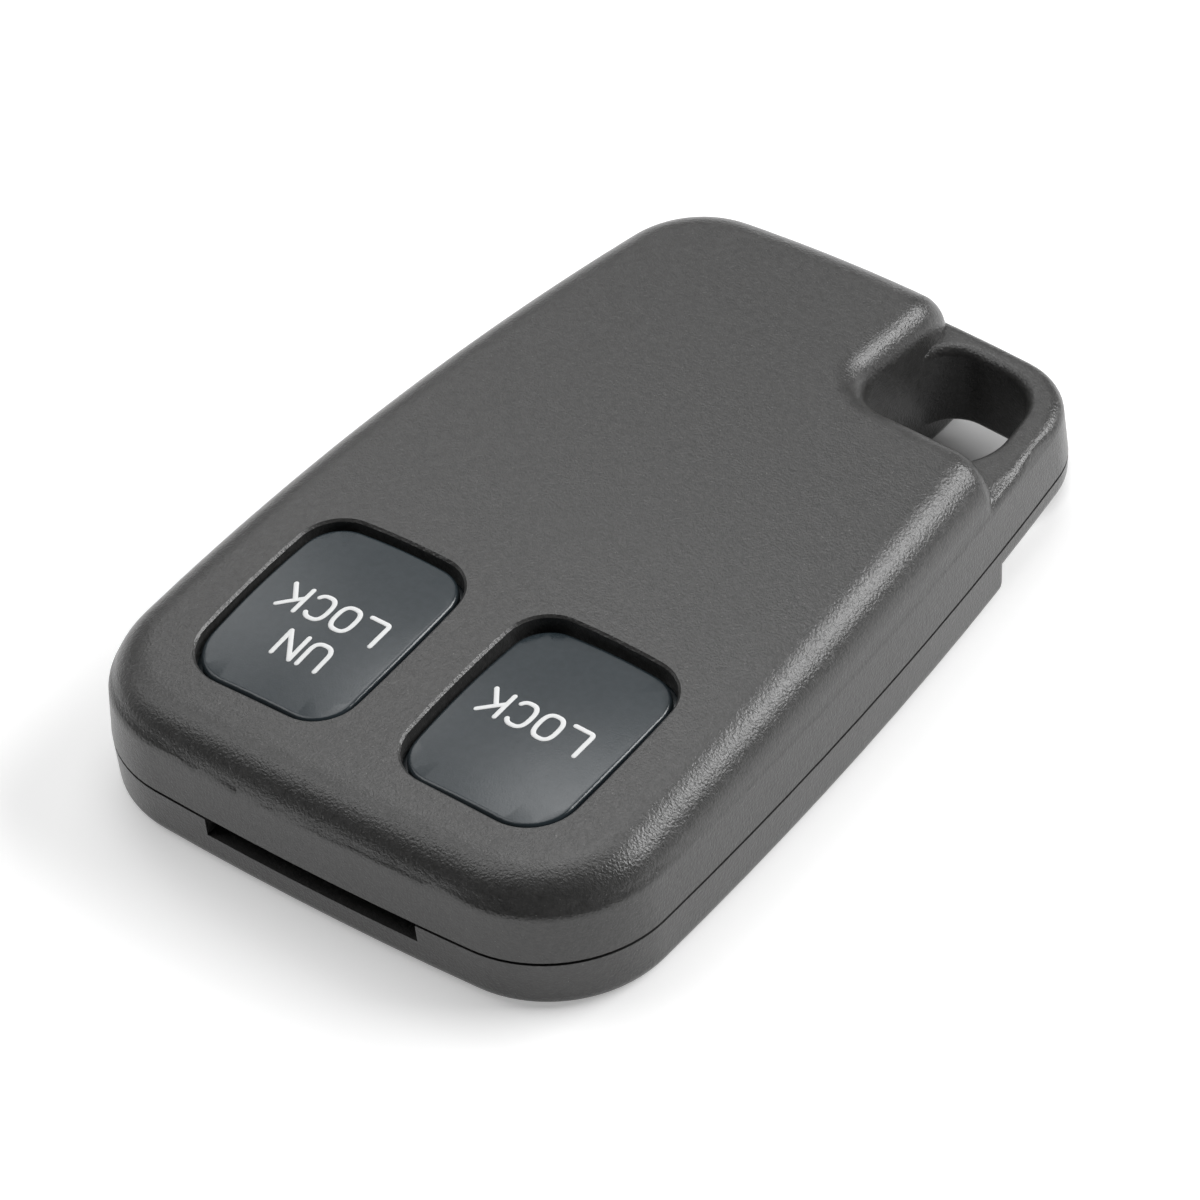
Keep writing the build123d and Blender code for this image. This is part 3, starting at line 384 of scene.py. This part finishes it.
def smooth(node):
    """Shades a node's curved faces smoothly and keeps its edges, by modifiers that leave its mesh alone."""
    node.data.polygons.foreach_set("use_smooth", np.ones(len(node.data.polygons), bool))
    weld = node.modifiers.new("weld", "WELD")
    weld.merge_threshold = WELD_GAP
    split = node.modifiers.new("keep_edges", "EDGE_SPLIT")
    split.split_angle = SHARP_ANGLE
    normals = node.modifiers.new("even_normals", "WEIGHTED_NORMAL")
    normals.weight = NORMAL_WEIGHT


def finish(node, material):
    """Gives a node its material and smooth shading."""
    node.data.materials.clear()
    node.data.materials.append(material)
    smooth(node)


finishes = make_finishes()
for part in frame["record"]["subparts"]:
    finish(frame["nodes"][part["node"]], finishes[part["material_slot"]])


def add_mesh(name, points, faces, material, body):
    """A piece made of a whole array of points and a list of faces. It rides on a body."""
    mesh = bpy.data.meshes.new(name)
    mesh.from_pydata(points, [], faces)
    mesh.polygons.foreach_set("use_smooth", np.ones(len(mesh.polygons), bool))
    mesh.materials.append(material)
    piece = bpy.data.objects.new(name, mesh)
    bpy.context.scene.collection.objects.link(piece)
    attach(piece, body)
    return piece


def tube_faces(rings, around, first):
    """Quads of a tube of rings with points around each, and one face over each end."""
    ring, turn = np.meshgrid(np.arange(rings - 1), np.arange(around), indexing="ij")
    corner = first + ring * around + turn
    beside = first + ring * around + (turn + 1) % around
    sides = np.stack([corner, beside, beside + around, corner + around], -1).reshape(-1, 4).tolist()
    near = list(range(first + around - 1, first - 1, -1))
    far = list(range(first + (rings - 1) * around, first + rings * around))
    return sides + [near, far]


def straight(start, end):
    """Points of a straight stroke: start plus a share of the way to end."""
    share = np.linspace(0, 1, STROKE_STEPS)[:, None]
    return np.array(start) + share * (np.array(end) - np.array(start))


def squared_off(values):
    """Cosines or sines to the power of two over the squareness, with their signs kept: the coordinates of a
    superellipse."""
    return np.sign(values) * abs(values) ** (2 / SQUARENESS)


def bowl(start_angle, end_angle):
    """Points of a round stroke on a superellipse that fills the letter's box."""
    turn = np.radians(np.linspace(start_angle, end_angle, 3 * STROKE_STEPS))
    return 0.5 + 0.5 * np.stack([squared_off(np.cos(turn)), squared_off(np.sin(turn))], -1)


def bent(start, corner, end, radius):
    """Points of a stroke with one rounded corner: a straight run, a quadratic bend and a straight run."""
    start, corner, end = (np.array(place, float) for place in (start, corner, end))
    before = corner + (start - corner) / np.linalg.norm(start - corner) * radius
    after = corner + (end - corner) / np.linalg.norm(end - corner) * radius
    share = np.linspace(0, 1, STROKE_STEPS)[:, None]
    bend = (1 - share) ** 2 * before + 2 * share * (1 - share) * corner + share**2 * after
    return np.concatenate([straight(start, before)[:-1], bend, straight(after, end)[1:]])


def cup(depth):
    """Points of a letter U: down one side, round half a superellipse at the foot and up the other."""
    turn = np.radians(np.linspace(180, 360, 2 * STROKE_STEPS))
    across = 0.5 + 0.5 * squared_off(np.cos(turn))
    up = depth * (1 + squared_off(np.sin(turn)))
    foot = np.stack([across, up], -1)
    return np.concatenate([straight((0, 1), (0, depth))[:-1], foot, straight((1, depth), (1, 1))[1:]])


# The strokes of each letter in a box from 0 to 1, right and up
LETTERS = {
    "L": [bent((0, 1), (0, 0), (1, 0), 0.16)],
    "O": [bowl(0, 360)],
    "C": [bowl(38, 322)],
    "K": [straight((0, 1), (0, 0)), straight((1, 1), (0.06, 0.42)), straight((0.36, 0.6), (1, 0))],
    "U": [cup(0.42)],
    "N": [straight((0, 0), (0, 1)), straight((0, 1), (1, 0)), straight((1, 0), (1, 1))],
}


def button_face(side, drop, lean):
    """Centre of the ball that a cap's face lies on: a point of the domed top, sunk by drop, less the
    face's normal times the ball's radius. The normal leans to the far left."""
    x = side * BUTTON_X
    height = COVER_TOP - DOME_R + math.sqrt(DOME_R**2 - x**2 - (BUTTON_Y - DOME_CENTRE_Y) ** 2)
    face = Vector((x, BUTTON_Y, height - drop))
    upright = (face - Vector((0, DOME_CENTRE_Y, COVER_TOP - DOME_R))).normalized()
    normal = (upright + Vector((-1, 1, 0)).normalized() * math.tan(math.radians(lean))).normalized()
    return face - normal * FACE_R


def ink_stroke(path, ball):
    """A ridge of ink along a path on a ball. Its section is a flat ellipse, half the stroke's width by the
    ink's thickness, which shrinks to nothing over a round end of that half width."""
    half = STROKE_WIDTH / 2
    along = np.gradient(path, axis=0)
    along /= np.linalg.norm(along, axis=1)[:, None]
    cap = np.linspace(90, TIP_ANGLE, SECTION_STEPS // 2)
    reach = half * np.sin(np.radians(cap))
    width = half * np.cos(np.radians(cap))
    start = path[0] - along[0] * reach[:, None]
    end = path[-1] + along[-1] * reach[::-1, None]
    places = np.concatenate([start, path, end])
    ahead = np.concatenate([np.repeat(along[:1], len(cap), 0), along, np.repeat(along[-1:], len(cap), 0)])
    halves = np.concatenate([width, np.full(len(path), half), width[::-1]])
    halves = np.maximum(halves, half * TIP_SHARE)
    aside = np.stack([-ahead[:, 1], ahead[:, 0]], -1)
    turn = np.linspace(0, 2 * math.pi, SECTION_STEPS, endpoint=False)
    plan = places[:, None] + aside[:, None] * (halves[:, None] * np.cos(turn))[..., None]
    rise = INK_THICKNESS * (halves / half)[:, None] * np.sin(turn)
    offset = plan - np.array(ball[:2])
    face = ball[2] + np.sqrt(FACE_R**2 - (offset**2).sum(-1))
    points = np.concatenate([plan, (face + rise)[..., None]], -1)
    return points.reshape(-1, 3), len(places)


def printed_word(name, word, left, foot, ball, body, ink):
    """A word printed on a button face. It reads upright from the key-ring end, so right is towards -X and
    up is towards -Y. Left and foot are where the first letter's lower left corner stands."""
    points, faces, count = [], [], 0
    for place, letter in enumerate(word):
        for stroke in LETTERS[letter]:
            x = left - place * LETTER_PITCH - stroke[:, 0] * LETTER_WIDTH
            y = foot - stroke[:, 1] * LETTER_HEIGHT
            ridge, rings = ink_stroke(np.stack([x, y], -1), ball)
            faces += tube_faces(rings, SECTION_STEPS, count)
            points.append(ridge)
            count += len(ridge)
    return add_mesh(name, np.concatenate(points), faces, ink, body)


def legends():
    """The two buttons' plain words."""
    ink = finishes["legend_paint"]
    unlock = button_face(-1, UNLOCK_DROP, 0.0)
    lock = button_face(1, LOCK_DROP, LOCK_LEAN)
    printed_word("unlock_word_first", "UN", -5.95 * MM, -18.29 * MM, unlock, "unlock_button", ink)
    printed_word("unlock_word_second", "LOCK", -4.37 * MM, -15.0 * MM, unlock, "unlock_button", ink)
    printed_word("lock_word", "LOCK", 11.3 * MM, -15.45 * MM, lock, "lock_button", ink)


def split_at_gaps(values):
    """Lowest and highest value of each run of values that has no gap wider than the solids' own."""
    ordered = np.unique(values)
    breaks = np.flatnonzero(np.diff(ordered) > SOLID_GAP)
    return list(zip(ordered[np.r_[0, breaks + 1]], ordered[np.r_[breaks, len(ordered) - 1]]))


def solid_boxes(node):
    """Lowest and highest corner of each separate solid of a node, found by the gaps between them."""
    corners = np.empty(len(frame["nodes"][node].data.vertices) * 3)
    frame["nodes"][node].data.vertices.foreach_get("co", corners)
    corners = corners.reshape(-1, 3)
    boxes = []
    for left, right in split_at_gaps(corners[:, 0]):
        column = corners[(corners[:, 0] >= left) & (corners[:, 0] <= right)]
        for near, far in split_at_gaps(column[:, 1]):
            solid = column[(column[:, 1] >= near) & (column[:, 1] <= far)]
            boxes.append((solid.min(0), solid.max(0)))
    return boxes


def track_section(route):
    """Points of a flat track along a route: half the width to each side of every corner, drawn out there
    by one over the cosine of half the turn, on the board and at the track's top."""
    route = np.array(route, float)
    ahead = np.diff(route, axis=0)
    ahead /= np.linalg.norm(ahead, axis=1)[:, None]
    before = np.concatenate([ahead[:1], ahead])
    after = np.concatenate([ahead, ahead[-1:]])
    middle = before + after
    middle /= np.linalg.norm(middle, axis=1)[:, None]
    aside = np.stack([-middle[:, 1], middle[:, 0]], -1) / (middle * after).sum(1)[:, None] * TRACK_WIDTH / 2
    left, right = route + aside, route - aside
    low = np.full(len(route), BOARD_TOP)
    high = low + TRACK_HEIGHT
    section = [(left, low), (left, high), (right, high), (right, low)]
    return np.stack([np.column_stack([plan, height]) for plan, height in section], 1).reshape(-1, 3)


def solder_mound(centre, half_x, half_y):
    """A low bun of solder: rings that shrink by the cosine and rise by the sine of a quarter turn."""
    rise = np.linspace(0, MOUND_TURN, MOUND_RINGS)[:, None]
    turn = np.linspace(0, 2 * math.pi, MOUND_STEPS, endpoint=False)
    x = centre[0] + half_x * np.cos(rise) * np.cos(turn)
    y = centre[1] + half_y * np.cos(rise) * np.sin(turn)
    z = BOARD_TOP + SOLDER_HEIGHT * np.sin(rise) + 0 * turn
    return np.stack([x, y, z], -1).reshape(-1, 3)


def joined(parts, around):
    """The points of several tubes in one array, with all their faces."""
    faces, count = [], 0
    for part in parts:
        faces += tube_faces(len(part) // around, around, count)
        count += len(part)
    return np.concatenate(parts), faces


def lead_feet(node):
    """Where each bent lead of a node stands on the board, and half its width. The foot is the end further
    from the node's middle."""
    low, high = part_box(node)
    feet = []
    for near, far in solid_boxes(node):
        x = near[0] if near[0] + far[0] < low.x + high.x else far[0]
        feet.append(((x, (near[1] + far[1]) / 2), (far[1] - near[1]) / 2))
    return feet


def diagonal(start, end):
    """A route between two places: along Y, then at 45 degrees across, then along Y again."""
    (x0, y0), (x1, y1) = start, end
    across = abs(x1 - x0)
    spare = max(abs(y1 - y0) - across, 0) / 2
    step = math.copysign(1, y1 - y0)
    route = [(x0, y0), (x0, y0 + step * spare), (x1, y1 - step * spare), (x1, y1)]
    return [route[n] for n in range(4) if n == 0 or math.dist(route[n], route[n - 1]) > SHORTEST_RUN]


def board_details():
    """Solder at every foot, metal ends on the small parts and the tracks between them."""
    feet = {
        node: lead_feet(node)
        for node in (
            "unlock_switch_terminals",
            "lock_switch_terminals",
            "encoder_chip_leads",
            "radio_transistor_leads",
        )
    }
    mounds = [
        solder_mound(place, LONG_SPREAD, half + SOLDER_SPREAD / 2)
        for places in feet.values()
        for place, half in places
    ]
    ends = []
    small = {node: solid_boxes(node) for node in ("chip_capacitors", "chip_resistors")}
    for low, high in small["chip_capacitors"] + small["chip_resistors"]:
        middle = (low[0] + high[0]) / 2
        half = (high[0] - low[0]) / 2
        for edge, inward in ((low[1], 1), (high[1], -1)):
            mounds.append(solder_mound((middle, edge), half, SOLDER_SPREAD))
            ends.append(metal_end(low, high, edge, inward))
    clip_low, clip_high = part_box("battery_clip")
    clip_x = (clip_low.x + clip_high.x) / 2
    clip_half = (clip_high.x - clip_low.x) / 2
    for y in (clip_low.y, clip_high.y):
        mounds.append(solder_mound((clip_x, y), clip_half, LONG_SPREAD))
    points, faces = joined(mounds, MOUND_STEPS)
    add_mesh("solder_joints", points, faces, finishes["tinned_metal"], "base")
    points, faces = joined(ends, BAR_CORNERS)
    sleeves = add_mesh("metal_ends", points, faces, finishes["tinned_metal"], "base")
    rounding = sleeves.modifiers.new("rounded", "BEVEL")
    rounding.width = METAL_END_THICKNESS
    rounding.segments = 2
    board_tracks(feet, small, (clip_x, clip_low.y))


def metal_end(low, high, edge, inward):
    """The tinned end of a small part: a box over its last stretch, a little larger than the part."""
    grow = METAL_END_THICKNESS
    stretch = sorted((edge - inward * grow, edge + inward * METAL_END_LENGTH), reverse=True)
    section = [(high[0] + grow, BOARD_TOP), (high[0] + grow, high[2] + grow)]
    section += [(low[0] - grow, high[2] + grow), (low[0] - grow, BOARD_TOP)]
    return np.array([(x, along, z) for along in stretch for x, z in section])


def board_tracks(feet, small, clip_foot):
    """Tracks under the mask, each from one foot or end to another."""
    unlock = sorted(place for place, _ in feet["unlock_switch_terminals"])
    lock = sorted(place for place, _ in feet["lock_switch_terminals"])
    chip = sorted(place for place, _ in feet["encoder_chip_leads"])
    transistor = sorted(place for place, _ in feet["radio_transistor_leads"])
    boxes = small["chip_capacitors"] + small["chip_resistors"]
    parts = sorted(((low[0] + high[0]) / 2, low[1], high[1]) for low, high in boxes)
    row = [part for part in parts if part[1] < 0]
    upper = [part for part in parts if part[1] > 0]
    low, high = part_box("resonator_base")
    left, right = low.x + RESONATOR_INSET, high.x - RESONATOR_INSET
    routes = [
        diagonal(unlock[3], (row[0][0], row[0][1])),
        diagonal(unlock[1], (unlock[1][0], row[0][1])),
        diagonal(lock[1], (row[3][0], row[3][1])),
        diagonal(lock[3], (row[-1][0], row[-1][1])),
        diagonal((row[1][0], row[1][2]), clip_foot),
        diagonal((row[2][0], row[2][2]), (row[2][0] + 2 * RESONATOR_INSET, low.y - RESONATOR_INSET)),
        diagonal((row[3][0], row[3][2]), (left, low.y)),
        diagonal((row[4][0], row[4][2]), (left + RESONATOR_INSET, low.y)),
        diagonal(transistor[1], (right - RESONATOR_INSET, low.y)),
        diagonal((row[-1][0], row[-1][2]), (right, low.y)),
        diagonal((left, high.y), chip[0]),
        diagonal((right, high.y), chip[4]),
        diagonal(chip[3], (upper[0][0], upper[0][1])),
        diagonal(chip[7], (upper[1][0], upper[1][1])),
    ]
    points, faces = joined([track_section(route) for route in routes], BAR_CORNERS)
    add_mesh("board_tracks", points, faces, finishes["copper_trace"], "base")


def snap_domes():
    """Gives each steel snap dome a mesh of its own."""
    for side in ("unlock", "lock"):
        dome = frame["nodes"][f"{side}_snap_dome"]
        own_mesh(dome)


legends()
board_details()
snap_domes()


def glow_for_eye(material, strength):
    """White light that only the camera, reflections and views through clear pieces see. The strength is a
    socket."""
    path = add_node(material, "ShaderNodeLightPath")
    seen = path.outputs["Is Camera Ray"]
    for ray in ("Is Glossy Ray", "Is Transmission Ray"):
        node = add_node(material, "ShaderNodeMath", operation="MAXIMUM")
        join(material, seen, node.inputs[0])
        join(material, path.outputs[ray], node.inputs[1])
        seen = node.outputs[0]
    amount = add_node(material, "ShaderNodeMath", operation="MULTIPLY")
    join(material, seen, amount.inputs[0])
    join(material, strength, amount.inputs[1])
    emission = add_node(material, "ShaderNodeEmission")
    emission.inputs["Color"].default_value = (1, 1, 1, 1)
    join(material, amount.outputs[0], emission.inputs["Strength"])
    return emission.outputs[0]


def pale_floor():
    """A white sweep of paper that the fob lies on, kept near white for the eye, with the fob's shadow. Under
    the key-ring eye it has painted shade: a darker colour and a weaker glow."""
    bpy.ops.mesh.primitive_plane_add(size=FLOOR_SIZE, location=(0, 0, 0))
    floor = bpy.context.object
    floor.name = "floor"
    material, shader = start_material("floor_paper", PAPER, 0.9)
    output = material.node_tree.nodes["Material Output"]
    both = add_node(material, "ShaderNodeAddShader")
    join(material, shader.outputs[0], both.inputs[0])
    place = add_node(material, "ShaderNodeTexCoord")
    away = add_node(material, "ShaderNodeVectorMath", operation="DISTANCE")
    join(material, place.outputs["Object"], away.inputs[0])
    away.inputs[1].default_value = EYE_MIDDLE
    # Painted shade: the paper darkens and its glow weakens towards the middle of the key-ring eye.
    painted_shade = spread(material, away.outputs["Value"], *PAINTED_SHADE_REACH)
    join(material, mix_colours(material, painted_shade, PAINTED_SHADE_PAPER, PAPER), shader.inputs["Base Color"])
    strength = spread(material, away.outputs["Value"], *PAINTED_SHADE_REACH, *PAPER_GLOW)
    join(material, glow_for_eye(material, strength), both.inputs[1])
    join(material, both.outputs[0], output.inputs["Surface"])
    floor.data.materials.append(material)


def direction(azimuth, elevation):
    """The way from the fob to a lamp or the camera: azimuth runs from -Y towards +X."""
    turn = math.radians(azimuth)
    rise = math.radians(elevation)
    return Vector((math.sin(turn) * math.cos(rise), -math.cos(turn) * math.cos(rise), math.sin(rise)))


def softbox(name, azimuth, elevation, width, height, power):
    """A lamp that faces the fob."""
    away = direction(azimuth, elevation)
    lamp = bpy.data.lights.new(name, "AREA")
    lamp.shape = "RECTANGLE"
    lamp.size = width
    lamp.size_y = height
    lamp.energy = power
    holder = bpy.data.objects.new(name, lamp)
    holder.location = LAMP_AIM + away * LAMP_DISTANCE
    holder.rotation_euler = away.to_track_quat("Z", "Y").to_euler()
    bpy.context.scene.collection.objects.link(holder)


def studio():
    """Surroundings that are white to the camera and faint to everything else, and the soft lamps."""
    world = bpy.data.worlds.new("studio")
    world.use_nodes = True
    bpy.context.scene.world = world
    background = world.node_tree.nodes["Background"]
    path = world.node_tree.nodes.new("ShaderNodeLightPath")
    level = world.node_tree.nodes.new("ShaderNodeMapRange")
    level.inputs["To Min"].default_value = WORLD_GLOW
    level.inputs["To Max"].default_value = 1.0
    world.node_tree.links.new(path.outputs["Is Camera Ray"], level.inputs["Value"])
    world.node_tree.links.new(level.outputs["Result"], background.inputs["Strength"])
    background.inputs["Color"].default_value = (1, 1, 1, 1)
    for lamp in LAMPS:
        softbox(*lamp)


def camera():
    """The photograph's camera."""
    away = direction(CAMERA_AZIMUTH, CAMERA_ELEVATION)
    lens = bpy.data.cameras.new("camera")
    lens.lens = CAMERA_LENS
    lens.sensor_width = SENSOR_WIDTH
    lens.clip_start = CLIP_START
    holder = bpy.data.objects.new("camera", lens)
    holder.location = CAMERA_TARGET + away * CAMERA_DISTANCE
    facing = away.to_track_quat("Z", "Y") @ Quaternion((0, 0, 1), math.radians(CAMERA_ROLL))
    holder.rotation_euler = facing.to_euler()
    bpy.context.scene.collection.objects.link(holder)
    bpy.context.scene.camera = holder


pale_floor()
studio()
camera()
bpy.context.scene.view_settings.view_transform = "Standard"
